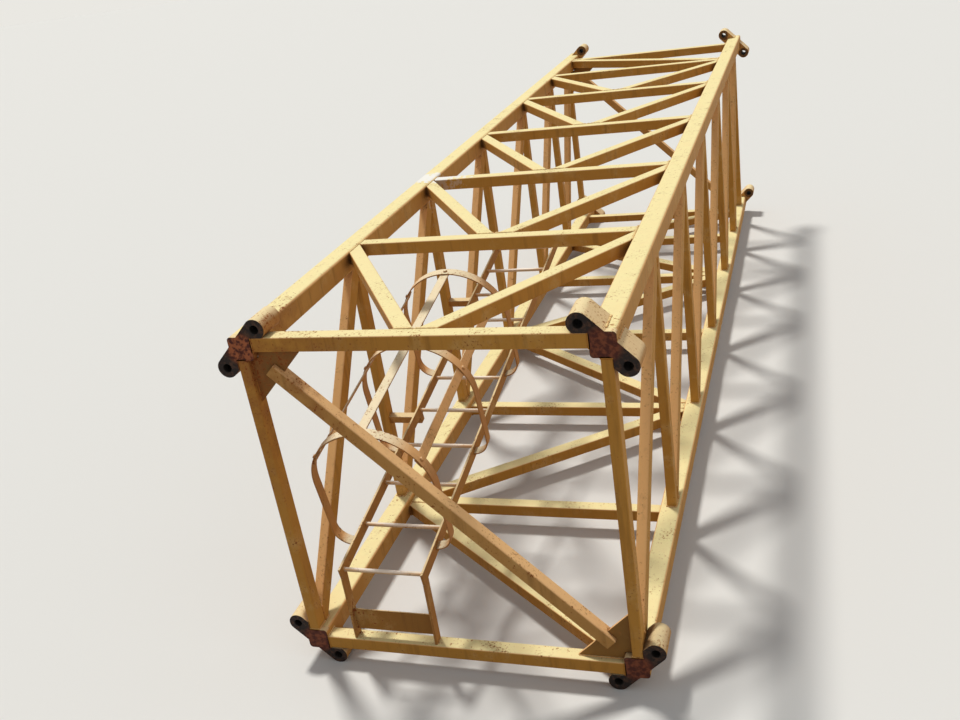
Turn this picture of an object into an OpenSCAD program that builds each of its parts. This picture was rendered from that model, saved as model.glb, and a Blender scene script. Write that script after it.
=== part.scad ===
// One lattice mast section of a tower crane, lying on its side as it is stored.
// Millimetres. X runs across, Y along the section, Z up. The origin lies on the
// ground under the middle of the section, and the near end is the one at -Y.

/* [Section] */
// Width and height of the section over its corner legs
mast_w = 1600; // [1200:10:2200]
// Number of equal long bays, counted from the near end
long_bays = 4; // [2:1:6]
// Length of each long bay
long_bay = 1130; // [900:10:1400]
// Length of the shorter bay behind them
short_bay = 955; // [800:5:1200]
// Length of the last bay, which has single braces
last_bay = 760; // [600:5:1000]
// Length of the legs beyond the last cross frame
far_stub = 390; // [330:5:600]

/* [Legs and joints] */
// Width of a square corner leg
leg_w = 105; // [95:1:130]
// Corner radius of a leg
leg_r = 15; // [6:1:18]
// Distance between the two bolts of one corner
bolt_pitch = 240; // [228:1:270]
// Diameter of a bolt hole
bolt_d = 38; // [28:1:46]
// Outer diameter of a bolt sleeve
sleeve_d = 88; // [80:1:94]
// Length of a bolt sleeve, with its end plate
sleeve_len = 145; // [110:5:250]
// Thickness of the end plate of a corner joint
plate_t = 30; // [16:1:40]

/* [Bars] */
// Width of the cross bars and posts, along the section
cross_w = 70; // [60:1:90]
// Depth of the cross bars and their braces, into the section
cross_h = 64; // [56:1:80]
// Depth of the posts and their braces, which lie flush with the cross bars inside
post_h = 48; // [36:1:52]
// How far the cross bars lie inside the outer faces of the legs
bar_inset = 5; // [3:1:12]
// Width of a K brace
brace_w = 70; // [50:1:80]
// Width of a single brace on the sides and the bottom
side_brace_w = 80; // [50:1:90]
// Width of the braces across the two end frames
end_brace_w = 58; // [46:1:80]
// Gap between the two K braces at the middle of a cross bar
k_gap = 10; // [4:1:60]
// Thickness of the corner gussets in the end frames
gusset_t = 12; // [8:1:20]
// Side of the corner gussets in the end frames
gusset_side = 240; // [180:5:300]
// Corner radius of the bars
bar_r = 6; // [3:1:10]

/* [Ladder] */
// Width of the ladder over its rails
ladder_w = 405; // [340:5:480]
// Distance of the ladder's middle from the outer faces of the left side
ladder_in = 445; // [400:5:520]
// Length of the ladder
ladder_len = 2950; // [2700:10:3200]
// Height of the ladder's near end above the bottom cross bars
ladder_rise = 328; // [220:2:360]
// Depth of the ladder's far end below the top cross bars
ladder_drop = 573; // [480:1:900]
// Distance of the ladder from the near end of the section
ladder_after = 8; // [6:1:40]
// Height of a ladder rail
rail_h = 60; // [40:1:70]
// Thickness of a ladder rail
rail_t = 10; // [6:1:14]
// Diameter of a rung
rung_d = 20; // [16:1:30]
// Distance of the first rung from the ladder's near end
rung_first = 36; // [24:1:80]
// Distance between two rungs
rung_pitch = 285; // [250:5:320]
// Half the outer width of a safety hoop
hoop_r = 290; // [260:1:330]
// Height of a hoop's crown above the middle of the rails
hoop_h = 660; // [560:1:680]
// Distance of the first hoop from the ladder's near end
hoop_first = 212; // [208:1:260]
// Distance between two hoops
hoop_pitch = 645; // [560:5:700]
// Width of the flat bar of the hoops
hoop_w = 50; // [30:1:56]
// Thickness of the flat bar of the hoops and straps
hoop_t = 6; // [4:1:8]
// Width of a strap along the hoops
strap_w = 45; // [30:1:50]
// Width of the arms that carry the ladder on the left posts
arm_w = 40; // [30:1:50]
// Width of the stands under the ladder's near end
stand_w = 50; // [40:1:56]
// Height of the plate between the stands
toe_plate_h = 110; // [60:5:160]
// Height of that plate's lower edge above the cross bar
toe_plate_up = 40; // [10:5:80]

/* [Hidden] */
$fn = 48;
hoop_fn = 96;
bay_count = long_bays + 2;
frame_gap = 2;
first_frame = cross_w / 2 + frame_gap;
mast_len = first_frame + long_bays * long_bay + short_bay + last_bay + far_stub;
near_y = -mast_len / 2;
bolt_out = (bolt_pitch / sqrt(2) - leg_w) / 2;
sleeve_r = sleeve_d / 2;
mid_z = mast_w / 2 + bolt_out + sleeve_r;
half = mast_w / 2;
// Middle of the cross bars and of the posts, from the middle of the section
bar_mid = half - bar_inset - cross_h / 2;
post_inset = bar_inset + cross_h - post_h;
post_mid = half - post_inset - post_h / 2;
// Half the room inside the bars of the four faces
frame_in = half - bar_inset - cross_h;
// Clear half width between two legs
clear = half - leg_w;
seat = 0.3;
// Shares of a brace's width by which its axis stays off the corner it runs into
k_reach = 0.6;
k_reach_along = 0.75;
brace_reach = 0.5;
brace_reach_along = 0.2;
slot_wall = 5;
ladder_x = ladder_in - half;
ladder_y0 = near_y + ladder_after;
foot_z = mid_z - frame_in;
// Height of the rails' middle at the ladder's near end, from the middle of the section
rail_mid = -frame_in + ladder_rise + rail_h / 2;
ladder_slope = asin((frame_in - ladder_drop - rail_mid) / ladder_len);
rung_last = floor((ladder_len - rung_first - rung_d) / rung_pitch);
hoop_last = 2;
crown_z = hoop_h - hoop_r;
hoop_foot_r = hoop_r - ladder_w / 2;
hoop_foot_z = hoop_foot_r - hoop_t / 2;
strap_out = sqrt(pow(hoop_r - hoop_t - seat, 2) - pow(strap_w / 2, 2));
strap_turn = 60;
// From the posts' inner faces to the inner face of the ladder's left rail
arm_x = -frame_in - ladder_x;
arm_len = rail_t - ladder_w / 2 - arm_x;
gusset_lap = 70;

// Distance of cross frame i from the near end, with frame 0 the nearest
function frame_at(i) =
    first_frame + min(i, long_bays) * long_bay
    + (i > long_bays ? short_bay : 0)
    + (i > long_bays + 1 ? last_bay : 0);
function frame_y(i) = near_y + frame_at(i);
// Place along the ladder of the arm on the post of frame i
function arm_at(i) = (frame_y(i) - ladder_y0 - (rail_h + arm_w) / 2 * sin(ladder_slope)) / cos(ladder_slope);
// Height of the rails' lower edges at y, from the middle of the section
function under_rail(y) = rail_mid + (y - ladder_y0) * tan(ladder_slope) - rail_h / 2 / cos(ladder_slope);

module paint() {
    color("goldenrod") children();
}

// A rectangle with round corners, centred
module round_rect(w, h, r) {
    square([w - 2 * r, h], center = true);
    square([w, h - 2 * r], center = true);
    for (x = [-1, 1], y = [-1, 1])
        translate([x * (w / 2 - r), y * (h / 2 - r)]) circle(r);
}

// Carries an outline drawn in X and Z from y0 along +Y
module along_y(y0, len) {
    translate([0, y0 + len, 0]) rotate([90, 0, 0]) linear_extrude(len) children();
}

// A bar in the XY plane from a to b, w wide and h deep
module bar(a, b, w, h) {
    d = b - a;
    translate([a[0], a[1], 0]) rotate([0, 0, atan2(d[1], d[0])])
        rotate([90, 0, 90]) linear_extrude(norm(d)) round_rect(w, h, bar_r);
}

// A brace from corner to corner of the rectangle lo..hi in the XY plane, cut to its four sides
module fitted_brace(a, b, w, h, lo, hi) {
    d = (b - a) / norm(b - a);
    intersection() {
        bar(a - d * w, b + d * w, w, h);
        translate([lo[0], lo[1], -h]) cube([hi[0] - lo[0], hi[1] - lo[1], 2 * h]);
    }
}

// Turns the XY plane into the YZ plane, for the posts and braces of the two sides
module on_side() {
    rotate([90, 0, 90]) children();
}

// Turns the XY plane into the XZ plane, for the end frames
module on_end() {
    rotate([90, 0, 0]) children();
}

// Legs: square hollow sections between the end plates of the corner joints
module leg(sx, sz) {
    paint() translate([sx * (half - leg_w / 2), 0, mid_z + sz * (half - leg_w / 2)])
        along_y(near_y + plate_t, mast_len - 2 * plate_t) round_rect(leg_w, leg_w, leg_r);
}

// Corner joints: outline around the two bolts, from the leg's outer corner inwards
function bolt_points() = [[leg_w + bolt_out, -bolt_out], [-bolt_out, leg_w + bolt_out]];

module sleeve_outline() {
    for (p = bolt_points()) translate(p) circle(sleeve_r);
    translate([leg_w / 2, leg_w / 2]) rotate(-45) square([bolt_pitch, sleeve_d], center = true);
}

module leg_outline(gap) {
    translate([leg_w / 2, leg_w / 2]) round_rect(leg_w + 2 * gap, leg_w + 2 * gap, leg_r);
}

// The end plate of a joint, or the sleeves behind it, with room for the bars where these meet the leg
module joint_profile(plate, barred) {
    difference() {
        union() {
            sleeve_outline();
            if (plate) leg_outline(0);
        }
        for (p = bolt_points()) translate(p) circle(d = bolt_d);
        if (!plate) leg_outline(seat);
        if (barred) {
            translate([leg_w, bar_inset - seat]) square(bolt_pitch);
            translate([post_inset - seat, leg_w]) square(bolt_pitch);
        }
    }
}

// The joint of one corner, with sx and sz its side and sy its end
module joint(sx, sy, sz) {
    paint() translate([0, 0, mid_z])
        mirror([sx > 0 ? 1 : 0, 0, 0]) mirror([0, sy > 0 ? 1 : 0, 0]) mirror([0, 0, sz > 0 ? 1 : 0])
            translate([-half, 0, -half]) {
                along_y(near_y, plate_t) joint_profile(true, sy < 0);
                along_y(near_y + plate_t, sleeve_len - plate_t) joint_profile(false, sy < 0);
            }
}

// Cross bars: one at each frame, between the legs of the top or the bottom face
module cross_bars(sz) {
    paint() for (i = [0:bay_count])
        translate([0, frame_y(i), mid_z + sz * bar_mid])
            bar([-clear, 0], [clear, 0], cross_w, cross_h);
}

// Posts: one at each frame, between the legs of one side
module posts(sx) {
    paint() for (i = [0:bay_count])
        translate([sx * post_mid, frame_y(i), mid_z])
            on_side() bar([0, -clear], [0, clear], cross_w, post_h);
}

// K braces: from the middle of one cross bar out to the leg at the next
module k_braces(sx) {
    from = k_gap / 2 + brace_w * k_reach;
    to = brace_w * k_reach_along;
    paint() for (i = [0:long_bays]) {
        near = frame_y(i) + cross_w / 2;
        far = frame_y(i + 1) - cross_w / 2;
        translate([0, 0, mid_z + bar_mid]) mirror([sx < 0 ? 1 : 0, 0, 0])
            fitted_brace([from, near], [clear, far - to], brace_w, cross_h, [k_gap / 2, near], [clear, far]);
    }
}

// Single brace of bay i in a face, from the low side near to the high side far, or turned over
module bay_brace(i, turned, w, h) {
    near = frame_y(i) + cross_w / 2;
    far = frame_y(i + 1) - cross_w / 2;
    side = turned ? -1 : 1;
    across = clear - w * brace_reach;
    along = w * brace_reach_along;
    fitted_brace([near + along, -side * across], [far - along, side * across],
        w, h, [near, -clear], [far, clear]);
}

module top_end_brace() {
    paint() translate([0, 0, mid_z + bar_mid]) mirror([1, -1, 0])
        bay_brace(bay_count - 1, true, brace_w, cross_h);
}

module bottom_braces() {
    paint() translate([0, 0, mid_z - bar_mid]) mirror([1, -1, 0])
        for (i = [0:bay_count - 1]) bay_brace(i, i % 2 == 0, side_brace_w, cross_h);
}

module side_braces(sx) {
    paint() translate([sx * post_mid, 0, mid_z]) on_side()
        for (i = [0:bay_count - 1]) bay_brace(i, false, side_brace_w, post_h);
}

// End frames: a brace from the top left to the bottom right, slotted over corner gussets
module end_brace(i) {
    cut = (gusset_side - gusset_lap) / sqrt(2);
    from = [-frame_in, frame_in];
    dir = [1, -1] / sqrt(2);
    paint() translate([0, frame_y(i), mid_z]) on_end() difference() {
        bar(from + dir * cut, -from - dir * cut, end_brace_w, cross_w - 2 * slot_wall);
        for (s = [-1, 1]) rotate(s > 0 ? 180 : 0)
            translate([0, 0, -gusset_t / 2 - seat]) linear_extrude(gusset_t + 2 * seat) gusset_outline(seat);
    }
}

module gusset_outline(gap) {
    c = frame_in;
    g = gusset_side + gap * 2;
    polygon([[-c + g, c], [-clear, c], [-clear, clear], [-c, clear], [-c, c - g]]);
}

module end_gussets(i) {
    paint() translate([0, frame_y(i), mid_z]) on_end()
        for (s = [-1, 1]) rotate(s > 0 ? 180 : 0)
            translate([0, 0, -gusset_t / 2]) linear_extrude(gusset_t) gusset_outline(0);
}

// Ladder: two flat rails and round rungs, rising from the near end to the middle of the section
module on_ladder() {
    translate([ladder_x, ladder_y0, mid_z + rail_mid]) rotate([ladder_slope, 0, 0]) children();
}

module ladder_rail(s) {
    paint() on_ladder() translate([s * (ladder_w - rail_t) / 2 - rail_t / 2, 0, -rail_h / 2])
        cube([rail_t, ladder_len, rail_h]);
}

module ladder_rungs() {
    paint() on_ladder() for (i = [0:rung_last])
        translate([0, rung_first + i * rung_pitch, 0])
            rotate([0, 90, 0]) cylinder(d = rung_d, h = ladder_w - 2 * rail_t, center = true);
}

// Stands on the first bottom cross bar, cut to the slope of the rails
module ladder_stands() {
    y = frame_y(0) - stand_w / 2;
    paint() for (s = [-1, 1])
        translate([ladder_x + s * (ladder_w - rail_t) / 2 - rail_t / 2, 0, mid_z]) on_side()
            linear_extrude(rail_t) polygon([
                [y, -frame_in], [y + stand_w, -frame_in],
                [y + stand_w, under_rail(y + stand_w)], [y, under_rail(y)]
            ]);
}

module ladder_toe_plate() {
    paint() translate([ladder_x - ladder_w / 2 + rail_t, frame_y(0) - hoop_t / 2, foot_z + toe_plate_up])
        cube([ladder_w - 2 * rail_t, hoop_t, toe_plate_h]);
}

// Arms from the left posts, under the left rail wherever the ladder passes a post
module ladder_arms() {
    paint() on_ladder() for (i = [1:bay_count]) if (arm_at(i) + arm_w < ladder_len)
        translate([arm_x, arm_at(i) - arm_w / 2, -rail_h / 2 - arm_w]) cube([arm_len, arm_w, arm_w]);
}

// Safety hoops: flat bar with a round crown, straight sides and feet that turn in to the rails
module crown_outline() {
    difference() {
        circle(hoop_r);
        circle(hoop_r - hoop_t);
        translate([-hoop_r, -2 * hoop_r]) square(2 * hoop_r);
    }
}

module foot_outline(s) {
    intersection() {
        difference() {
            circle(hoop_foot_r);
            circle(hoop_foot_r - hoop_t);
        }
        translate([s > 0 ? 0 : -hoop_foot_r, -hoop_foot_r]) square(hoop_foot_r);
    }
}

module hoop(i) {
    paint() on_ladder() along_y(hoop_first + i * hoop_pitch - hoop_w / 2, hoop_w) {
        translate([0, crown_z]) crown_outline($fn = hoop_fn);
        for (s = [-1, 1]) {
            translate([s * (hoop_r - hoop_t / 2), (crown_z + hoop_foot_z) / 2])
                square([hoop_t, crown_z - hoop_foot_z], center = true);
            translate([s * ladder_w / 2, hoop_foot_z]) foot_outline(s);
        }
    }
}

module hoop_straps() {
    paint() on_ladder() translate([0, hoop_first - hoop_w / 2, crown_z])
        for (turn = [-strap_turn, 0, strap_turn]) rotate([0, turn, 0])
            translate([-strap_w / 2, 0, strap_out - hoop_t])
                cube([strap_w, hoop_last * hoop_pitch + hoop_w, hoop_t]);
}

leg(-1, 1);  // leg_top_left
leg(1, 1);  // leg_top_right
leg(-1, -1);  // leg_bottom_left
leg(1, -1);  // leg_bottom_right
joint(-1, -1, 1);  // joint_near_top_left
joint(1, -1, 1);  // joint_near_top_right
joint(-1, -1, -1);  // joint_near_bottom_left
joint(1, -1, -1);  // joint_near_bottom_right
joint(-1, 1, 1);  // joint_far_top_left
joint(1, 1, 1);  // joint_far_top_right
joint(-1, 1, -1);  // joint_far_bottom_left
joint(1, 1, -1);  // joint_far_bottom_right
cross_bars(1);  // top_cross_bars
cross_bars(-1);  // bottom_cross_bars
posts(-1);  // left_posts
posts(1);  // right_posts
k_braces(-1);  // top_k_braces_left
k_braces(1);  // top_k_braces_right
top_end_brace();
bottom_braces();
side_braces(-1);  // left_braces
side_braces(1);  // right_braces
end_brace(0);  // near_end_brace
end_brace(bay_count);  // far_end_brace
end_gussets(0);  // near_end_gussets
end_gussets(bay_count);  // far_end_gussets
ladder_rail(-1);  // ladder_left_rail
ladder_rail(1);  // ladder_right_rail
ladder_rungs();
ladder_stands();
ladder_toe_plate();
ladder_arms();
hoop(0);  // hoop_1
hoop(1);  // hoop_2
hoop(2);  // hoop_3
hoop_straps();
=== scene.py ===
import math

import bmesh
import bpy
import numpy as np
from mathutils import Matrix, Vector


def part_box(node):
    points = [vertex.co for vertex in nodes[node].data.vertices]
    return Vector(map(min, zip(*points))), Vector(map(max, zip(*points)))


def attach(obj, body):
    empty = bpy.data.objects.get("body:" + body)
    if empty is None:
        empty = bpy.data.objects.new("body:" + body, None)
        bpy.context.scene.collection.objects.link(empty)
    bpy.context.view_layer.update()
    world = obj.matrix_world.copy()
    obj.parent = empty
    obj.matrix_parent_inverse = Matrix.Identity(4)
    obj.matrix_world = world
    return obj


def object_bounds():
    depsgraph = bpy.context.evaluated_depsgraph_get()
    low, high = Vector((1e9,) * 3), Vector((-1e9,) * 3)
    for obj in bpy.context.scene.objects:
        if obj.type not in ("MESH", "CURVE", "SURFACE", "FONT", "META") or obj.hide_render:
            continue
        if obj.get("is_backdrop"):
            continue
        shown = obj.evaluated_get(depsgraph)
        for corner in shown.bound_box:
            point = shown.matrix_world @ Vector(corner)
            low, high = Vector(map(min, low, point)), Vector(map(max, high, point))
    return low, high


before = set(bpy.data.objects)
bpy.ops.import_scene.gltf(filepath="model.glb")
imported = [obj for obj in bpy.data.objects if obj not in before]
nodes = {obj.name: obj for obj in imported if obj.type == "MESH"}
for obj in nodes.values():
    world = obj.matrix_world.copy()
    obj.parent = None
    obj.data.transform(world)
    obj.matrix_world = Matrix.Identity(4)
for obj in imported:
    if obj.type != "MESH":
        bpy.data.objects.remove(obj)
cad_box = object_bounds()


# Legs. Four square hollow steel sections, 105 mm wide, that run the whole length
# of the mast section at its corners. They are sprayed yellow over mill scale, and
# years outdoors have bleached what faces the sky and opened rust at the edges. The
# tops are painted paler still, and faces that lean back peach, as painted sunlight.
leg_width = 0.105
leg_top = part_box("leg_top_left")[1].z
leg_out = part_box("leg_top_right")[1].x
leg_middle = leg_out - leg_width / 2
middle_z = (leg_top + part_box("leg_bottom_left")[0].z) / 2
near_end = cad_box[0].y
far_end = cad_box[1].y
corner_round = 0.007
nook_reach = 0.07
leg_yellow = (205, 149, 76)
# Top tone: sun bleaching, made paler as painted sunlight.
leg_bleached_lit = (250, 238, 178)
# Painted sunlight on faces that lean back.
sunlit_peach = (254, 199, 136)
ochre = (193, 133, 56)
straw = (236, 198, 132)
dust = (206, 170, 108)
run_brown = (122, 80, 38)
# Dark brown for dirt and painted shade in the nooks.
grime_and_shade = (72, 50, 30)
stain_orange = (150, 88, 44)
rust_halo = (178, 104, 44)
rust_dark = (70, 38, 26)
rust_light = (140, 74, 34)
rusty_corner = (-leg_out, near_end, leg_top - 0.15)
lime_white = (246, 245, 241)
whitewash_at = (-0.72, near_end + 2.31, leg_top)


def tone(card):
    """A colour read off a paint card in 0 to 255, as the linear values that a shader takes."""
    share = np.array(card) / 255
    linear = np.where(share > 0.04045, ((share + 0.055) / 1.055) ** 2.4, share / 12.92)
    return tuple(float(v) for v in linear)


def step(tree, kind, feeds, **options):
    """The outputs of one new shader node. Options are its own settings, and feeds name its sockets,
    each with a value or with the output that is linked to it."""
    node = tree.nodes.new("ShaderNode" + kind)
    for option, value in options.items():
        setattr(node, option, value)
    for socket, value in feeds.items():
        if isinstance(value, bpy.types.NodeSocket):
            tree.links.new(value, node.inputs[socket])
        else:
            node.inputs[socket].default_value = value
    return node.outputs


def calc(tree, operation, first, second=0.0):
    """The result of one sum, product or like operation."""
    return step(tree, "Math", {0: first, 1: second}, operation=operation)[0]


def total(tree, *shares):
    """The sum of several values, each weighed by the number that stands before it."""
    added = 0.0
    for weight, value in zip(shares[::2], shares[1::2]):
        added = calc(tree, "ADD", added, calc(tree, "MULTIPLY", weight, value))
    return added


def ramp(tree, value, start, end):
    """Rises smoothly from 0 where value is start to 1 where it is end."""
    feeds = {"Value": value, "From Min": start, "From Max": end}
    return step(tree, "MapRange", feeds, interpolation_type="SMOOTHSTEP")["Result"]


def cover(tree, amount, under, upper):
    """The colour under, hidden by the colour upper where amount is 1. Sockets 6 and 7 of the node
    are its two colours, and output 2 is the mixed one."""
    colours = {key: value if isinstance(value, bpy.types.NodeSocket) else (*tone(value), 1)
               for key, value in ((6, under), (7, upper))}
    return step(tree, "Mix", {0: amount, **colours}, data_type="RGBA")[2]


def cloud(tree, place, scale, detail, stretch=(1, 1, 1)):
    """Noise around 0.5 with patches of about 1/scale metres, squeezed along an axis by stretch."""
    moved = step(tree, "Mapping", {"Vector": place, "Scale": stretch})[0]
    feeds = {"Vector": moved, "Scale": scale, "Detail": detail, "Roughness": 0.62}
    return step(tree, "TexNoise", feeds)["Fac"]


def worn_yellow(name, shade, sky, wear=0.0, end_rust=0.03, slope=sunlit_peach):
    """Yellow spray coat on steel, after years outdoors. Shade is its tone on the sides, slope the one
    on faces that lean back, which is painted sunlight, and sky the one on top, which is what the sun
    has bleached, made paler still as painted sunlight.
    One over the other lie: wide clouds of ochre, patches of straw, painted sunlight on slopes and tops
    by how far a face turns up, a thin film of dust, brown runs down the steep sides, dark brown dirt
    and painted shade in the nooks where pieces meet, the more the less ambient light reaches them,
    and a stain that spreads from one corner of the mast.
    Where a fine noise plus shares of a patchy one, of edge, of nearness to an end and of wear passes
    a limit the coat is gone: a brown halo comes first, then rust that lies lower than the paint.
    Corners are rounded in the shading, as those of a hollow section are."""
    paint = bpy.data.materials.new(name)
    paint.use_nodes = True
    tree = paint.node_tree
    shader = tree.nodes["Principled BSDF"]
    place = step(tree, "TexCoord", {})["Object"]
    out = step(tree, "NewGeometry", {})["True Normal"]
    facing = step(tree, "SeparateXYZ", {0: out})
    at = step(tree, "SeparateXYZ", {0: place})

    wide = cloud(tree, place, 1.3, 3)
    patch = cloud(tree, place, 8, 5)
    fleck = cloud(tree, place, 85, 5)
    skin = cloud(tree, place, 420, 2)
    run = cloud(tree, place, 1, 4, (26, 26, 2.2))

    rounded = step(tree, "Bevel", {"Radius": corner_round}, samples=4)[0]
    turn = step(tree, "VectorMath", {0: rounded, 1: out}, operation="DOT_PRODUCT")["Value"]
    edge = ramp(tree, calc(tree, "SUBTRACT", 1.0, turn), 0.015, 0.2)
    # Painted shade with dirt: the less ambient light reaches a point in a nook, the more it is darkened
    # towards dark brown.
    open_air = step(tree, "AmbientOcclusion", {"Distance": nook_reach}, samples=6)["AO"]
    closed_in = calc(tree, "SUBTRACT", 1.0, open_air)
    nook_grime_and_shade = ramp(tree, total(tree, 1.0, closed_in, 0.5, patch), 0.52, 0.95)

    coat = cover(tree, total(tree, 0.4, ramp(tree, wide, 0.42, 0.66)), shade, ochre)
    coat = cover(tree, total(tree, 0.3, ramp(tree, patch, 0.5, 0.72)), coat, straw)
    # Painted sunlight: faces that turn up take the slope tone, and tops take the sky tone, which is sun
    # bleaching and painted sunlight both.
    coat = cover(tree, total(tree, 0.8, ramp(tree, facing[2], 0.1, 0.6)), coat, slope)
    upward = ramp(tree, facing[2], 0.62, 0.97)
    bleach_and_light = calc(tree, "MULTIPLY", upward, total(tree, 1.0, 0.66, 0.5, patch))
    coat = cover(tree, bleach_and_light, coat, sky)
    film = ramp(tree, total(tree, 0.6, patch, 0.4, fleck), 0.5, 0.66)
    coat = cover(tree, total(tree, 0.32, film), coat, dust)
    steep = total(tree, 1.0, 0.36, -0.3, calc(tree, "ABSOLUTE", facing[2]))
    streak = calc(tree, "MULTIPLY", ramp(tree, run, 0.52, 0.74), steep)
    coat = cover(tree, streak, coat, run_brown)
    # Dark brown in the nooks, as dirt and painted shade.
    coat = cover(tree, total(tree, 0.72, nook_grime_and_shade), coat, grime_and_shade)

    from_corner = step(tree, "VectorMath", {0: place, 1: rusty_corner}, operation="DISTANCE")["Value"]
    near_corner = ramp(tree, from_corner, 0.8, 0.15)
    seeped = ramp(tree, total(tree, 1.0, patch, -0.25, upward), 0.34, 0.62)
    stain = calc(tree, "MULTIPLY", near_corner, seeped)
    coat = cover(tree, total(tree, 0.6, stain), coat, stain_orange)

    from_end = calc(tree, "SUBTRACT", far_end, calc(tree, "ABSOLUTE", at[1]))
    loss = total(tree, 1.0, fleck, 0.45, patch, 0.085, edge, 1.0, wear,
                 0.05, near_corner, end_rust, ramp(tree, from_end, 0.45, 0.02))
    halo = ramp(tree, loss, 0.82, 0.95)
    bare = ramp(tree, loss, 0.93, 0.95)
    rust = cover(tree, ramp(tree, fleck, 0.42, 0.6), rust_dark, rust_light)
    coat = cover(tree, total(tree, 0.62, halo), coat, rust_halo)
    coat = cover(tree, bare, coat, rust)
    tree.links.new(coat, shader.inputs["Base Color"])

    matt = total(tree, 1.0, 0.52, 0.26, patch, 0.15, calc(tree, "MAXIMUM", bare, nook_grime_and_shade))
    tree.links.new(matt, shader.inputs["Roughness"])
    shader.inputs["Specular IOR Level"].default_value = 0.2
    pit = calc(tree, "MULTIPLY", bare, total(tree, 1.0, 1.0, -0.8, fleck))
    relief = total(tree, 0.10, skin, 0.25, patch, -1.0, pit)
    feeds = {"Strength": 0.55, "Distance": 0.0012, "Height": relief, "Normal": rounded}
    tree.links.new(step(tree, "Bump", feeds)[0], shader.inputs["Normal"])
    return paint


def coat_node(name, paint):
    """Gives a piece of the frame its finish."""
    nodes[name].data.materials.clear()
    nodes[name].data.materials.append(paint)


def whitewash(paint):
    """A splash across the top left leg and the end of the bar that meets it, two bays from the near end:
    white where the distance from its heart, shortened across the leg, plus a share of noise is small.
    Level faces take nearly all of it, and upright ones less than a third."""
    tree = paint.node_tree
    colour = tree.nodes["Principled BSDF"].inputs["Base Color"]
    place = step(tree, "TexCoord", {})["Object"]
    spread = (0.5, 1, 0.6)
    squeezed = step(tree, "Mapping", {"Vector": place, "Scale": spread})[0]
    heart = tuple(np.array(whitewash_at) * spread)
    away = step(tree, "VectorMath", {0: squeezed, 1: heart}, operation="DISTANCE")["Value"]
    away = total(tree, 1.0, away, 0.36, cloud(tree, place, 34, 6))
    facing = step(tree, "SeparateXYZ", {0: step(tree, "NewGeometry", {})["True Normal"]})
    level = total(tree, 1.0, 0.3, 0.7, ramp(tree, facing[2], 0.2, 0.8))
    splash = calc(tree, "MULTIPLY", level, ramp(tree, away, 0.29, 0.255))
    painted = colour.links[0].from_socket
    tree.links.new(cover(tree, total(tree, 0.95, splash), painted, lime_white), colour)


leg_paint = worn_yellow("leg_paint", leg_yellow, leg_bleached_lit)
whitewash(leg_paint)
for name in ("leg_top_left", "leg_top_right", "leg_bottom_left", "leg_bottom_right"):
    coat_node(name, leg_paint)


# Corner joints. Blocks with two bolt sleeves each, flame cut from thick plate and
# welded round the ends of the legs. Their end faces are bare, because they bear on
# the next section: rust where the leg sits, and dark old grease round the bolts.
joint_reach = 0.145
plate_thick = 0.030
bolt_pitch = 0.240
hole_wide = 0.038
sleeve_wide = 0.088
bead_radius = 0.0055
bead_short = 0.008
joint_yellow = (205, 150, 84)
# Top tone: sun bleaching, made paler as painted sunlight. Slope tone: a painted highlight on the rounded
# sleeves.
joint_bleached_lit = (246, 226, 176)
joint_slope_light = (244, 214, 166)
face_rust_dark = (84, 42, 34)
face_rust_light = (140, 80, 56)
face_rust_fresh = (196, 116, 76)
grease_thick = (42, 34, 32)
grease_thin = (86, 62, 50)
# Near black for the walls of the bolt holes, as painted shade.
hole_shade_black = (30, 25, 22)
weld_yellow = (198, 136, 62)
# Top tone: sun bleaching, made paler as painted sunlight.
weld_bleached_lit = (246, 228, 166)


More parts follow.
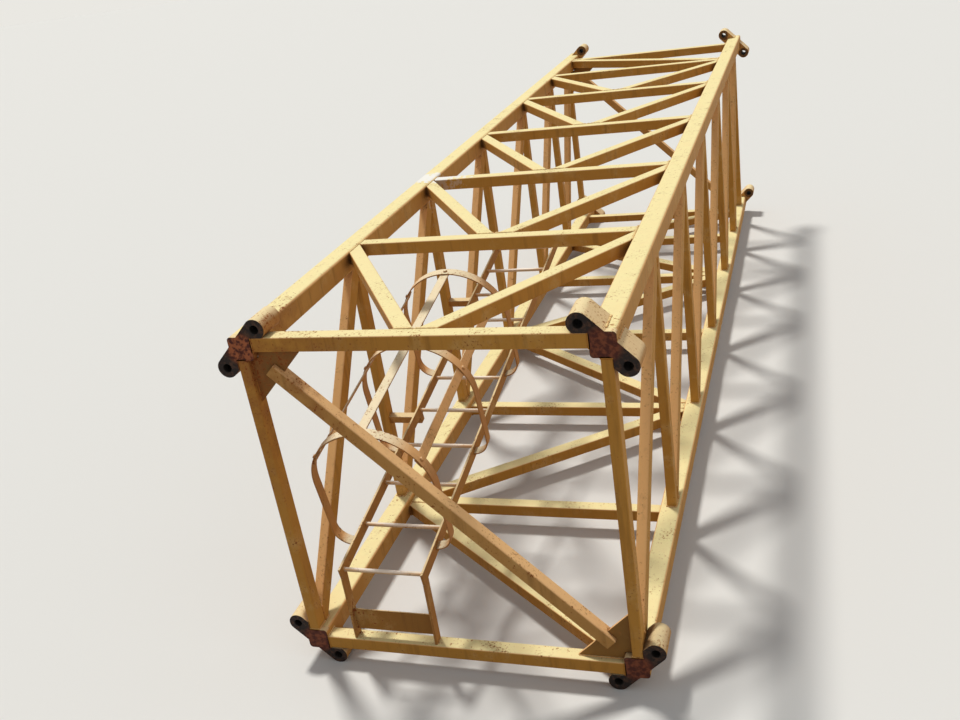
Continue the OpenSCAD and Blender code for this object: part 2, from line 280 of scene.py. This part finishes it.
def bare_ends(paint):
    """What lies on the bare end faces of the joints, by how far a point is from the middle of its leg
    and from the middle of the nearer bolt, each distance with a little noise.
    Near the leg it is rust, fresh at one corner of the mast, and grease takes over beyond 75 to 110 mm.
    Heads and nuts of the bolts have worn and greased the ends of the sleeves, the inner ones too,
    and the walls of the holes are painted near black as painted shade. They lie to either side of
    the leg, on one diagonal."""
    tree = paint.node_tree
    colour = tree.nodes["Principled BSDF"].inputs["Base Color"]
    place = step(tree, "TexCoord", {})["Object"]
    at = step(tree, "SeparateXYZ", {0: place})
    facing = step(tree, "SeparateXYZ", {0: step(tree, "NewGeometry", {})["True Normal"]})
    scuff = cloud(tree, place, 45, 6)
    from_face = calc(tree, "SUBTRACT", far_end, calc(tree, "ABSOLUTE", at[1]))
    across_mast = ramp(tree, calc(tree, "ABSOLUTE", facing[1]), 0.6, 0.9)
    bearing = calc(tree, "MULTIPLY", across_mast, ramp(tree, from_face, 0.01, 0.004))

    height = calc(tree, "ABSOLUTE", calc(tree, "SUBTRACT", at[2], middle_z))
    side_off = calc(tree, "SUBTRACT", calc(tree, "ABSOLUTE", at[0]), leg_middle)
    height_off = calc(tree, "SUBTRACT", height, leg_middle)
    off_leg = step(tree, "CombineXYZ", {0: side_off, 1: height_off})[0]
    from_leg = step(tree, "VectorMath", {0: off_leg}, operation="LENGTH")["Value"]
    greasy = ramp(tree, total(tree, 1.0, from_leg, 0.05, scuff), 0.075, 0.11)
    rusted = cover(tree, ramp(tree, scuff, 0.4, 0.62), face_rust_dark, face_rust_light)
    wet_corner = (-leg_out, near_end, leg_top)
    from_corner = step(tree, "VectorMath", {0: place, 1: wet_corner}, operation="DISTANCE")["Value"]
    fresh = calc(tree, "MULTIPLY", ramp(tree, from_corner, 0.3, 0.1), ramp(tree, scuff, 0.42, 0.56))
    rusted = cover(tree, total(tree, 0.7, fresh), rusted, face_rust_fresh)
    greased = cover(tree, ramp(tree, scuff, 0.45, 0.66), grease_thick, grease_thin)
    painted = colour.links[0].from_socket
    finished = cover(tree, bearing, painted, cover(tree, greasy, rusted, greased))

    feeds = {"Vector": off_leg, "Angle": math.pi / 4}
    diagonal = step(tree, "VectorRotate", feeds, rotation_type="Z_AXIS")[0]
    diagonal = step(tree, "SeparateXYZ", {0: diagonal})
    along_off = calc(tree, "SUBTRACT", calc(tree, "ABSOLUTE", diagonal[0]), bolt_pitch / 2)
    off_bolt = step(tree, "CombineXYZ", {0: along_off, 1: diagonal[1]})[0]
    from_bolt = step(tree, "VectorMath", {0: off_bolt}, operation="LENGTH")["Value"]
    under_head = ramp(tree, total(tree, 1.0, from_bolt, 0.02, scuff), 0.056, 0.047)
    seat = calc(tree, "MULTIPLY", across_mast, under_head)
    finished = cover(tree, total(tree, 0.8, seat), finished, greased)
    # Painted shade: the walls of the bolt holes are painted near black.
    in_hole = ramp(tree, from_bolt, hole_wide / 2 + 0.002, hole_wide / 2)
    tree.links.new(cover(tree, in_hole, finished, hole_shade_black), colour)


joint_paint = worn_yellow("joint_paint", joint_yellow, joint_bleached_lit, 0.005, 0.035, joint_slope_light)
bare_ends(joint_paint)
for name in nodes:
    if name.startswith("joint_"):
        coat_node(name, joint_paint)


def new_piece(name, points, faces, paint):
    """A piece of its own at the origin, from points in metres and faces as rows of four point numbers.
    Rings that have shrunk to a point are merged, so that every bead and bolt head is closed."""
    mesh = bpy.data.meshes.new(name)
    mesh.vertices.add(len(points))
    mesh.vertices.foreach_set("co", np.asarray(points, np.float32).ravel())
    mesh.loops.add(faces.size)
    mesh.loops.foreach_set("vertex_index", np.asarray(faces, np.int32).ravel())
    mesh.polygons.add(len(faces))
    mesh.polygons.foreach_set("loop_start", np.arange(0, faces.size, 4, dtype=np.int32))
    mesh.polygons.foreach_set("use_smooth", np.ones(len(faces), bool))
    mesh.update(calc_edges=True)
    merged = bmesh.new()
    merged.from_mesh(mesh)
    bmesh.ops.remove_doubles(merged, verts=merged.verts, dist=1e-6)
    merged.to_mesh(mesh)
    merged.free()
    piece = bpy.data.objects.new(name, mesh)
    bpy.context.scene.collection.objects.link(piece)
    mesh.materials.append(paint)
    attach(piece, "root")
    return piece


def ring_faces(rings, around, closed):
    """Faces between each ring of points and the next, and from the last to the first where closed."""
    row = np.arange(rings if closed else rings - 1)[:, None]
    here, after = row * around, (row + 1) % rings * around
    place = np.arange(around)[None]
    beside = (place + 1) % around
    faces = np.stack([here + place, after + place, after + beside, here + beside], -1)
    return faces.reshape(-1, 4)[:, ::-1]


def weld_bead(corners, closed, radius, heart, seed):
    """Points and faces of one weld bead, laid along straight runs between corners.
    The path is walked at an even pitch. At each place a ring of six points stands round it, with one
    arm away from heart, the middle of the seam. The ring's radius swells with each drop of weld metal
    and with its pace, and closes to nothing at an open end. With sin in radians and path in metres,
    it is radius * (1 + 0.16 * sin(2 pi * path / drop + wander) + 0.10 * sin(41 * path + 2 * seed)),
    where wander is 1.7 * sin(90 * path + seed) + seed."""
    around, pitch, drop = 6, 0.005, 0.007
    corners = np.asarray(corners, float)
    turns = np.vstack([corners, corners[:1]]) if closed else corners
    lengths = np.linalg.norm(np.diff(turns, axis=0), axis=1)
    walked = np.concatenate([[0], np.cumsum(lengths)])
    count = max(4, int(walked[-1] / pitch))
    path = np.linspace(0, walked[-1], count + (0 if closed else 1), endpoint=not closed)
    line = np.stack([np.interp(path, walked, turns[:, k]) for k in range(3)], 1)
    ahead = np.roll(line, -1, 0) - np.roll(line, 1, 0) if closed else np.gradient(line, axis=0)
    ahead /= np.linalg.norm(ahead, axis=1)[:, None]
    arm = line - np.asarray(heart, float)
    arm -= ahead * (arm * ahead).sum(1)[:, None]
    arm /= np.linalg.norm(arm, axis=1)[:, None]
    across = np.cross(ahead, arm)
    wander = 1.7 * np.sin(path * 90 + seed) + seed
    drops = 0.16 * np.sin(2 * np.pi * path / drop + wander)
    pace = 0.10 * np.sin(path * 41 + seed * 2)
    swell = radius * (1 + drops + pace)
    if not closed:
        swell = swell * np.sqrt(np.clip(np.minimum(path, walked[-1] - path) / radius, 0, 1))
    angle = np.arange(around) * 2 * np.pi / around
    ring = np.cos(angle)[None, :, None] * arm[:, None] + np.sin(angle)[None, :, None] * across[:, None]
    points = line[:, None] + ring * swell[:, None, None]
    return points.reshape(-1, 3), ring_faces(len(line), around, closed)


def weld_piece(name, beads, paint):
    """All the beads of one kind of seam, as one piece, ground flush with the two ends of the mast."""
    points, faces, start = [], [], 0
    for bead_points, bead_faces in beads:
        points.append(bead_points)
        faces.append(bead_faces + start)
        start += len(bead_points)
    points = np.vstack(points)
    points[:, 1] = np.clip(points[:, 1], near_end, far_end)
    return new_piece(name, points, np.vstack(faces), paint)


def at_corner(side, level, in_x, y, in_z):
    """A point at one corner of the mast, in_x and in_z inward of its leg's two outer faces."""
    return side * (leg_out - in_x), y, middle_z + level * (leg_out - in_z)


weld_paint = worn_yellow("weld_paint", weld_yellow, weld_bleached_lit, 0.02)
# The sleeves' flanks cross the leg's two outer faces in a line along the leg and one across it.
block_line = leg_width - sleeve_wide / math.sqrt(2)
beads = []
for side in (-1, 1):
    for end in (-1, 1):
        for level in (-1, 1):
            start = end * (far_end - plate_thick)
            stop = end * (far_end - joint_reach)
            run = [(block_line, start), (block_line, stop), (leg_width - bead_short, stop)]
            level_seam = [at_corner(side, level, inward, y, 0) for inward, y in run]
            upright_seam = [at_corner(side, level, 0, y, inward) for inward, y in run]
            heart = at_corner(side, level, leg_width / 2, (start + stop) / 2, leg_width / 2)
            for seam in (level_seam, upright_seam):
                beads.append(weld_bead(seam, False, bead_radius, heart, len(beads)))
weld_piece("joint_welds", beads, weld_paint)


# Cross bars and posts. Rectangular hollow sections, one of each kind at every frame
# of the four faces, set square between the legs and welded all round. The posts are
# shallower, so that both lie flush on the inside of the mast.
bar_wide = 0.070
long_bay = 1.130
short_bay = 0.955
last_bay = 0.760
bead_inset = 0.001
bar_yellow = (204, 147, 66)
# Top tone: sun bleaching, made paler as painted sunlight.
bar_bleached_lit = (249, 237, 178)
first_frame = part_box("top_cross_bars")[0].y + bar_wide / 2
frame_lines = first_frame + np.cumsum([0] + 4 * [long_bay] + [short_bay, last_bay])
bar_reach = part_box("top_cross_bars")[1].x


def faces_of(name, axis):
    """Where the bars of one side of the mast start and end in their depth, along x, 0, or z, 2."""
    low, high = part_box(name)
    return low[axis], high[axis]


top_plane = faces_of("top_cross_bars", 2)
bottom_plane = faces_of("bottom_cross_bars", 2)
left_plane = faces_of("left_posts", 0)
right_plane = faces_of("right_posts", 0)

bar_paint = worn_yellow("bar_paint", bar_yellow, bar_bleached_lit)
whitewash(bar_paint)
for name in ("top_cross_bars", "bottom_cross_bars", "left_posts", "right_posts"):
    coat_node(name, bar_paint)


def cut_strip(start, finish, width, low, high):
    """Outline of a flat strip between two points of the plane, a little longer than they lie apart,
    clipped in turn by the four sides of the rectangle low..high, as corners in order."""
    start, finish = np.asarray(start, float), np.asarray(finish, float)
    ahead = (finish - start) / np.linalg.norm(finish - start)
    side = np.array([-ahead[1], ahead[0]]) * width / 2
    start, finish = start - ahead * width, finish + ahead * width
    outline = [start - side, finish - side, finish + side, start + side]
    for axis, limit, sign in ((0, low[0], 1), (0, high[0], -1), (1, low[1], 1), (1, high[1], -1)):
        kept = []
        for a, b in zip(outline, outline[1:] + outline[:1]):
            inside_a, inside_b = sign * (a[axis] - limit) >= 0, sign * (b[axis] - limit) >= 0
            if inside_a:
                kept.append(a)
            if inside_a != inside_b:
                kept.append(a + (b - a) * (limit - a[axis]) / (b[axis] - a[axis]))
        outline = kept
    return outline


def end_seams(outline, low, high, touch=1e-6):
    """The chains of corners along which a cut strip meets the sides of its rectangle."""
    def on_side(a, b):
        return any(abs(a[k] - v[k]) < touch and abs(b[k] - v[k]) < touch
                   for k in (0, 1) for v in (low, high))

    count = len(outline)
    welded = [on_side(outline[k], outline[(k + 1) % count]) for k in range(count)]
    first = welded.index(False)
    chains, chain = [], []
    for k in range(first, first + count + 1):
        here, after = outline[k % count], outline[(k + 1) % count]
        if welded[k % count] and k < first + count:
            chain = chain or [here]
            chain.append(after)
        elif chain:
            chains.append(chain)
            chain = []
    return chains


def in_face(face, u, v, depth):
    """A point of one of the mast's faces: u across or up, v along the mast, depth out of the face."""
    return (u, v, depth) if face == "flat" else (depth, v, middle_z + u)


def brace_beads(face, plane, outline, low, high, seed):
    """Closed beads round both ends of a bar whose outline lies in a face and whose depth is plane."""
    made = []
    for chain in end_seams(outline, low, high):
        upper = [in_face(face, u, v, plane[1] - bead_inset) for u, v in chain]
        lower = [in_face(face, u, v, plane[0] + bead_inset) for u, v in reversed(chain)]
        loop = np.array(upper + lower)
        made.append(weld_bead(loop, True, bead_radius, loop.mean(0), seed + len(made)))
    return made


# The bars are cut by the legs alone, so along the mast their rectangle is wide open.
wide_open = 10.0
low, high = (-bar_reach, -wide_open), (bar_reach, wide_open)
sides = (("flat", top_plane), ("flat", bottom_plane), ("side", left_plane), ("side", right_plane))
beads = []
for number, y in enumerate(frame_lines):
    outline = cut_strip((-bar_reach, y), (bar_reach, y), bar_wide, low, high)
    for face, plane in sides:
        beads += brace_beads(face, plane, outline, low, high, number * 3)
weld_piece("frame_welds", beads, weld_paint)


# Braces of the top face. Two to a bay, from the middle of one cross bar out to the
# corner of the next, so that each pair makes a K. The last bay has a single one.
k_brace_wide = 0.070
k_gap = 0.010
k_from = k_gap / 2 + 0.6 * k_brace_wide
k_to = 0.75 * k_brace_wide
k_bays = 5

for name in ("top_k_braces_left", "top_k_braces_right", "top_end_brace"):
    coat_node(name, bar_paint)


def bay_limits(bay):
    """Where the bay's clear room starts and ends along the mast, between its two frames."""
    return frame_lines[bay] + bar_wide / 2, frame_lines[bay + 1] - bar_wide / 2


def corner_brace(bay, side, width):
    """A single brace of a bay, from the low side at its near frame to the other at its far frame."""
    near, far = bay_limits(bay)
    low, high = (-bar_reach, near), (bar_reach, far)
    reach = bar_reach - 0.5 * width
    start, finish = (-side * reach, near + 0.2 * width), (side * reach, far - 0.2 * width)
    return cut_strip(start, finish, width, low, high), low, high


beads = []
for bay in range(k_bays):
    near, far = bay_limits(bay)
    for side in (-1, 1):
        low, high = (min(0, side * bar_reach), near), (max(0, side * bar_reach), far)
        start, finish = (side * k_from, near), (side * bar_reach, far - k_to)
        outline = cut_strip(start, finish, k_brace_wide, low, high)
        beads += brace_beads("flat", top_plane, outline, low, high, bay * 5 + side)
beads += brace_beads("flat", top_plane, *corner_brace(k_bays, -1, k_brace_wide), 31)
weld_piece("top_brace_welds", beads, weld_paint)


# Braces of the bottom and of the two sides. One to a bay, corner to corner: they
# run to and fro along the bottom, and all the same way along each side.
side_brace_wide = 0.080

for name in ("bottom_braces", "left_braces", "right_braces"):
    coat_node(name, bar_paint)
beads = []
for bay in range(k_bays + 1):
    to_and_fro = corner_brace(bay, 1 if bay % 2 else -1, side_brace_wide)
    beads += brace_beads("flat", bottom_plane, *to_and_fro, bay)
    same_way = corner_brace(bay, 1, side_brace_wide)
    for plane in (left_plane, right_plane):
        beads += brace_beads("side", plane, *same_way, bay + 8)
weld_piece("side_brace_welds", beads, weld_paint)


# End frames. A brace across each end from the top left to the bottom right, slotted
# over triangular gusset plates that are welded into the corner of bar and post. The
# braces are rubbed pale. The gussets have a darker, duller coat than the bars.
gusset_thick = 0.012
gusset_side = 0.240
gusset_bead = 0.0045
inner_half = top_plane[0] - middle_z
end_brace_yellow = (206, 155, 90)
# Top tone: sun bleaching, made paler as painted sunlight. Slope tone: painted sunlight on the brace's
# upper side.
end_brace_bleached_lit = (246, 228, 178)
end_brace_slope_light = (255, 203, 142)
gusset_yellow = (144, 106, 56)
# Top tone: sun bleaching, made paler as painted sunlight.
gusset_bleached_lit = (232, 212, 152)

end_brace_paint = worn_yellow("end_brace_paint", end_brace_yellow, end_brace_bleached_lit, 0.004,
                              slope=end_brace_slope_light)
gusset_paint = worn_yellow("gusset_paint", gusset_yellow, gusset_bleached_lit, 0.012)
for name in ("near_end_brace", "far_end_brace"):
    coat_node(name, end_brace_paint)
for name in ("near_end_gussets", "far_end_gussets"):
    coat_node(name, gusset_paint)
beads = []
for y in (frame_lines[0], frame_lines[-1]):
    for corner in (-1, 1):
        x, z = corner * inner_half, middle_z - corner * inner_half
        bar_end = corner * (inner_half - gusset_side)
        post_end = z + corner * gusset_side
        for face in (-1, 1):
            side_y = y + face * gusset_thick / 2
            along_bar = [(bar_end, side_y, z), (corner * bar_reach, side_y, z)]
            along_post = [(x, side_y, z + corner * (inner_half - bar_reach)), (x, side_y, post_end)]
            for seam in (along_bar, along_post):
                outside = np.mean(seam, 0) + (0, -face, 0)
                beads.append(weld_bead(seam, False, gusset_bead, outside, len(beads)))
weld_piece("gusset_welds", beads, weld_paint)


# Ladder. Two flat bar rails with round rungs welded between them. It rises from the
# near end to the middle of the mast, on two stands at its foot and on arms from the
# left posts. Boots have rubbed the middle of the rungs to pale bare steel.
rail_high = 0.060
rail_thick = 0.010
rung_radius = 0.010
rung_after = 0.036
rung_pitch = 0.285
thin_bead = 0.003
rung_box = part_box("ladder_rungs")
rung_reach = (rung_box[0].x, rung_box[1].x)
rung_run = rung_box[1].y - rung_box[0].y - 2 * rung_radius
rung_rise = rung_box[1].z - rung_box[0].z - 2 * rung_radius
rung_count = round(math.hypot(rung_run, rung_rise) / rung_pitch) + 1
ladder_slope = math.atan2(rung_rise, rung_run)
ladder_ahead = np.array([0, math.cos(ladder_slope), math.sin(ladder_slope)])
ladder_off = np.array([0, -math.sin(ladder_slope), math.cos(ladder_slope)])
ladder_middle = sum(rung_reach) / 2
first_rung = np.array([ladder_middle, rung_box[0].y + rung_radius, rung_box[0].z + rung_radius])
ladder_foot = first_rung - rung_after * ladder_ahead
rail_outside = rung_reach[1] - ladder_middle + rail_thick
rail_yellow = (182, 126, 68)
# Top tone: sun bleaching, made paler as painted sunlight.
rail_bleached_lit = (244, 222, 172)
rung_yellow = (238, 208, 172)
# Top tone: sun bleaching, made paler as painted sunlight.
rung_bleached_lit = (252, 242, 222)
rubbed_steel = (242, 234, 226)
# A darker tone for the toe plate, as painted shade.
toe_shade_yellow = (160, 110, 52)
# Top tone: sun bleaching, made paler as painted sunlight.
toe_bleached_lit = (226, 200, 146)


def rub_middles(paint):
    """Pale steel on the upper half of the rungs, where the distance from the ladder's middle plus
    a share of noise is under 150 to 250 mm."""
    tree = paint.node_tree
    shader = tree.nodes["Principled BSDF"]
    place = step(tree, "TexCoord", {})["Object"]
    at = step(tree, "SeparateXYZ", {0: place})
    facing = step(tree, "SeparateXYZ", {0: step(tree, "NewGeometry", {})["True Normal"]})
    off_middle = calc(tree, "ABSOLUTE", calc(tree, "SUBTRACT", at[0], ladder_middle))
    off_middle = total(tree, 1.0, off_middle, 0.16, cloud(tree, place, 18, 4))
    trodden = ramp(tree, facing[2], -0.1, 0.5)
    rubbed = calc(tree, "MULTIPLY", ramp(tree, off_middle, 0.25, 0.15), trodden)
    colour = shader.inputs["Base Color"]
    painted = colour.links[0].from_socket
    tree.links.new(cover(tree, total(tree, 0.7, rubbed), painted, rubbed_steel), colour)
    tree.links.new(total(tree, 0.25, rubbed), shader.inputs["Metallic"])


rail_paint = worn_yellow("rail_paint", rail_yellow, rail_bleached_lit, 0.01)
for name in ("ladder_left_rail", "ladder_right_rail", "ladder_stands", "ladder_arms"):
    coat_node(name, rail_paint)
rung_paint = worn_yellow("rung_paint", rung_yellow, rung_bleached_lit)
rub_middles(rung_paint)
coat_node("ladder_rungs", rung_paint)
# The toe plate is painted darker and duller than the rails, as painted shade.
toe_shade_paint = worn_yellow("toe_shade_paint", toe_shade_yellow, toe_bleached_lit, 0.02)
coat_node("ladder_toe_plate", toe_shade_paint)


def on_ladder(across, along, off):
    """A point in the ladder's own terms: across from its middle, along its rails and off their plane."""
    return ladder_foot + np.array([across, 0, 0]) + along * ladder_ahead + off * ladder_off


rung_turn = np.arange(12) * 2 * np.pi / 12
rung_round = rung_radius * np.stack([0 * rung_turn, np.cos(rung_turn), np.sin(rung_turn)], 1)
beads = []
for number in range(rung_count):
    for x in rung_reach:
        heart = on_ladder(x - ladder_middle, rung_after + number * rung_pitch, 0)
        beads.append(weld_bead(heart + rung_round, True, thin_bead, heart, number))
weld_piece("rung_welds", beads, weld_paint)


# Stands and arms. The stands are flat bars cut to the slope of the rails, with a toe
# plate between them. The arms are square bars from the post to the left rail. Both
# are welded where they sit.
arm_wide = 0.040
post_inside = left_plane[1]
stand_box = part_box("ladder_stands")
toe_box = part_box("ladder_toe_plate")


def arm_along(frame_y):
    """Where along the ladder the arm sits whose middle lies at frame_y."""
    shift = (rail_high + arm_wide) / 2 * math.sin(ladder_slope)
    return (frame_y - ladder_foot[1] - shift) / math.cos(ladder_slope)


beads = []
for y in frame_lines[1:3]:
    along = arm_along(y)
    arm_top = -rail_high / 2
    on_post = post_inside - ladder_middle
    corners = [(-1, 0), (1, 0), (1, -1), (-1, -1)]
    loop = [on_ladder(on_post, along + u * arm_wide / 2, arm_top + v * arm_wide) for u, v in corners]
    beads.append(weld_bead(loop, True, thin_bead, np.mean(loop, 0), len(beads)))
    seat = [on_ladder(-rail_outside, along + u * arm_wide / 2, arm_top) for u in (-1, 1)]
    beads.append(weld_bead(seat, False, thin_bead, on_ladder(0, along, arm_top), len(beads)))
for side in (-1, 1):
    for face in (rail_outside, rail_outside - rail_thick):
        x = ladder_middle + side * face
        foot = [(x, stand_box[0].y, stand_box[0].z), (x, stand_box[1].y, stand_box[0].z)]
        heart = (ladder_middle + side * (rail_outside - rail_thick / 2), foot[0][1], foot[0][2])
        beads.append(weld_bead(foot, False, thin_bead, heart, len(beads)))
    x = ladder_middle + side * (rail_outside - rail_thick)
    for face_y in (toe_box[0].y, toe_box[1].y):
        upright = [(x, face_y, toe_box[0].z), (x, face_y, toe_box[1].z)]
        heart = (ladder_middle, face_y, toe_box[0].z)
        beads.append(weld_bead(upright, False, thin_bead, heart, len(beads)))
weld_piece("stand_welds", beads, weld_paint)


# Safety hoops. Flat bar bent to a round crown with straight sides, whose feet turn
# in to the rails. Three straps run along inside them, bolted on from outside.
hoop_radius = 0.290
hoop_high = 0.660
hoop_first = 0.212
hoop_pitch = 0.645
hoop_count = 3
hoop_wide = 0.050
hoop_thick = 0.006
strap_turn = math.radians(60)
bolt_across = 0.017
bolt_high = 0.007
washer_high = 0.002
washer_crown = 0.0022
hoop_yellow = (204, 144, 88)
# Top tone: sun bleaching, made paler as painted sunlight.
hoop_bleached_lit = (252, 242, 208)

hoop_paint = worn_yellow("hoop_paint", hoop_yellow, hoop_bleached_lit)
for name in nodes:
    if name.startswith("hoop_"):
        coat_node(name, hoop_paint)


def bolt_head(at, out, turned):
    """A hexagon bolt head on its washer, standing at a point along the direction out.
    The profile gives each ring's share of half the head's width, its height, and how much of
    a hexagon it is, from 0, round: a hexagon's radius is that of its flats over the cosine of
    the angle off the nearest flat's middle."""
    around = 24
    arm = np.cross(out, ladder_ahead)
    across = np.cross(out, arm)
    profile = [(0.0, -washer_high, 0), (1.32, -washer_high, 0), (1.32, washer_high, 0),
               (1.12, washer_crown, 0), (1.0, washer_crown, 1), (1.0, bolt_high * 0.84, 1),
               (0.88, bolt_high, 0.6), (0.0, bolt_high, 0)]
    share, height, hexed = np.array(profile).T[:, :, None]
    angle = np.arange(around) * 2 * np.pi / around
    hexagon = 1 / np.cos((angle + turned) % (np.pi / 3) - np.pi / 6)
    radius = bolt_across / 2 * share * (1 + hexed * (hexagon - 1))
    ring = np.cos(angle)[:, None] * arm + np.sin(angle)[:, None] * across
    points = at + radius[:, :, None] * ring + height[:, :, None] * out
    return points.reshape(-1, 3), ring_faces(len(profile), around, False)


heads, beads = [], []
for number in range(hoop_count):
    along = hoop_first + hoop_pitch * number
    for swing in (-strap_turn, 0, strap_turn):
        out = math.sin(swing) * np.array([1, 0, 0]) + math.cos(swing) * ladder_off
        crown_middle = on_ladder(0, along, hoop_high - hoop_radius)
        heads.append(bolt_head(crown_middle + hoop_radius * out, out, 0.4 * number + swing))
    for side in (-rail_outside, rail_outside):
        for off in (-hoop_thick / 2, hoop_thick / 2):
            seam = [on_ladder(side, along + u * hoop_wide / 2, off) for u in (-1, 1)]
            beads.append(weld_bead(seam, False, thin_bead, on_ladder(0, along, off), number))
weld_piece("strap_bolts", heads, hoop_paint)
weld_piece("hoop_welds", beads, weld_paint)


# Studio. A pale floor and an even pale world, both seen in their own tones. The key
# lamp hangs high behind the mast's left side, and a broad weak one fills from the
# right. The camera has the photograph's viewpoint and leans with it.
floor_reach = 60.0
floor_lit = (160, 153, 142)
floor_seen = (228, 228, 226)
world_light = (0.94, 0.97, 1.0, 1)
world_strength = 0.30
world_seen = (234, 232, 226)
camera_from = (1.4894, near_end - 3.2182, leg_top + 1.4345)
camera_sight = (-0.32256401, 0.85349973, -0.40925624)
camera_lean = -0.161


def seen_rays(tree):
    """1 for rays from the camera and for those that a mirror or glass sends on, and 0 for all others."""
    rays = step(tree, "LightPath", {})
    mirrored = calc(tree, "MAXIMUM", rays["Is Glossy Ray"], rays["Is Transmission Ray"])
    return calc(tree, "MAXIMUM", rays["Is Camera Ray"], mirrored)


floor_mesh = bpy.data.meshes.new("studio_floor")
floor_corners = [(x * floor_reach, y * floor_reach, 0) for x, y in ((-1, -1), (1, -1), (1, 1), (-1, 1))]
floor_mesh.from_pydata(floor_corners, [], [(0, 1, 2, 3)])
floor = bpy.data.objects.new("studio_floor", floor_mesh)
bpy.context.scene.collection.objects.link(floor)
pale = bpy.data.materials.new("pale_floor")
pale.use_nodes = True
floor_tree = pale.node_tree
floor_shader = floor_tree.nodes["Principled BSDF"]
floor_shader.inputs["Roughness"].default_value = 0.95
floor_colour = cover(floor_tree, seen_rays(floor_tree), floor_lit, floor_seen)
floor_tree.links.new(floor_colour, floor_shader.inputs["Base Color"])
floor_mesh.materials.append(pale)
floor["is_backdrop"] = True

world = bpy.data.worlds.new("studio")
bpy.context.scene.world = world
world.use_nodes = True
world_tree = world.node_tree
lighting = world_tree.nodes["Background"]
lighting.inputs["Color"].default_value = world_light
lighting.inputs["Strength"].default_value = world_strength
backdrop = step(world_tree, "Background", {"Color": (*tone(world_seen), 1), "Strength": 1.0})[0]
feeds = {0: seen_rays(world_tree), 1: lighting.outputs[0], 2: backdrop}
both = step(world_tree, "MixShader", feeds)[0]
world_tree.links.new(both, world_tree.nodes["World Output"].inputs["Surface"])


def hang_lamp(name, energy, spread, colour, lamp_from):
    """A lamp so far away that its light is even, as wide in the sky as spread in degrees."""
    lamp_data = bpy.data.lights.new(name, "SUN")
    lamp_data.energy = energy
    lamp_data.angle = math.radians(spread)
    lamp_data.color = colour
    lamp = bpy.data.objects.new(name, lamp_data)
    lamp.rotation_euler = Vector(lamp_from).to_track_quat("Z", "Y").to_euler()
    bpy.context.scene.collection.objects.link(lamp)


hang_lamp("key", 2.4, 8, (1.0, 0.97, 0.91), (-0.38, 0.40, 1.0))
hang_lamp("fill", 0.34, 70, (1.0, 0.96, 0.90), (0.9, -0.1, 0.5))

camera_data = bpy.data.cameras.new("camera")
camera_data.sensor_width = 36.0
camera_data.lens = 37.6
camera_data.clip_end = 400
camera = bpy.data.objects.new("camera", camera_data)
bpy.context.scene.collection.objects.link(camera)
upright = Vector(camera_sight).to_track_quat("-Z", "Y").to_matrix()
leaning = upright @ Matrix.Rotation(camera_lean, 3, "Z")
camera.matrix_world = Matrix.Translation(camera_from) @ leaning.to_4x4()
bpy.context.scene.camera = camera
bpy.context.scene.view_settings.view_transform = "Standard"

low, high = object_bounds()
